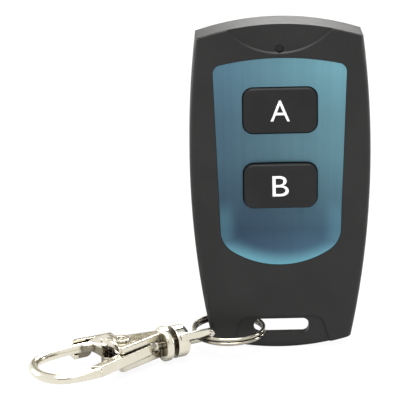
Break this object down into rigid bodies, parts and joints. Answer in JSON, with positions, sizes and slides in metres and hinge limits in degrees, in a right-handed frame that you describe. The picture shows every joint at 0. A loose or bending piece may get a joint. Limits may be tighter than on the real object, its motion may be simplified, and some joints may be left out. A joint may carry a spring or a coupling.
{
  "type": "car key remote",
  "caption": "Slim upright key remote with press keys in a dished trim plate, a strap slot, a split ring and a swivel snap hook with a sprung gate.",
  "frame": {"origin": "middle of the fob's flat back face, halfway between its top and bottom ends", "axes": "+X to the right as one faces the keys, +Y out of the back face, +Z towards the top end; the fob stands on its slotted bottom end"},
  "size_m": [0.0607, 0.0329, 0.06],
  "materials": {
    "shell": "fine satin, near black",
    "plate": "glossy dark blue grey",
    "key": "soft matt black",
    "moulding": "moulded nylon",
    "steel": "plain rolled steel",
    "solder": "tinned",
    "board": "green solder mask",
    "copper": "bare copper",
    "chip": "moulded epoxy",
    "ceramic": "fired ceramic",
    "lamp": "clear tinted",
    "lens": "moulded clear",
    "screw": "black oxide",
    "legend": "printed white",
    "nickel": "polished nickel plate"
  },
  "bodies": {
    "case": {"front_shell": "shell", "back_shell": "shell", "trim_plate": "plate", "switch_base_a": "moulding", "switch_base_b": "moulding", "switch_cover_a": "steel", "switch_cover_b": "steel", "switch_dome_a": "steel", "switch_dome_b": "steel", "switch_leads": "solder", "circuit_board": "board", "antenna_trace": "copper", "encoder_chip": "chip", "saw_resonator": "steel", "rf_transistor": "chip", "chip_passives": "ceramic", "indicator_led": "lamp", "lamp_lens": "lens", "coin_cell": "steel", "battery_clip": "steel", "battery_contact": "steel", "back_screws": "screw"},
    "key_a": {"button_a": "key", "switch_plunger_a": "moulding"},
    "key_b": {"button_b": "key", "switch_plunger_b": "moulding"},
    "ring": {"split_ring": "nickel"},
    "eye": {"swivel_eye": "nickel"},
    "hook": {"hook_body": "nickel", "gate_rivet": "nickel", "gate_spring": "steel"},
    "gate": {"gate_lever": "nickel"}
  },
  "joints": [
    {"name": "press_a", "type": "slide", "parent": "case", "child": "key_a", "axis": [0, 1, 0], "range_m": [0, 0.0003], "stiffness_N_per_m": 800, "deforming": ["switch_dome_a"]},
    {"name": "press_b", "type": "slide", "parent": "case", "child": "key_b", "axis": [0, 1, 0], "range_m": [0, 0.0003], "stiffness_N_per_m": 800, "deforming": ["switch_dome_b"]},
    {"name": "ring_swing", "type": "hinge", "parent": "case", "child": "ring", "pos_m": [-0.0032, -0.0106, -0.02655], "axis": [0, -1, 0], "range_deg": [-5, 90]},
    {"name": "eye_slide", "type": "hinge", "parent": "ring", "child": "eye", "pos_m": [-0.00955, -0.0106, -0.02655], "axis": [0, 0, 1], "range_deg": [0, 65]},
    {"name": "hook_swivel", "type": "hinge", "parent": "eye", "child": "hook", "pos_m": [-0.0201, -0.0165, -0.02655], "axis": [-0.8949, -0.4462, 0], "continuous": true},
    {"name": "gate_open", "type": "hinge", "parent": "hook", "child": "gate", "pos_m": [-0.02865, -0.02043, -0.02655], "axis": [0, 0, -1], "range_deg": [0, 25], "stiffness_Nm_per_rad": 0.005}
  ]
}
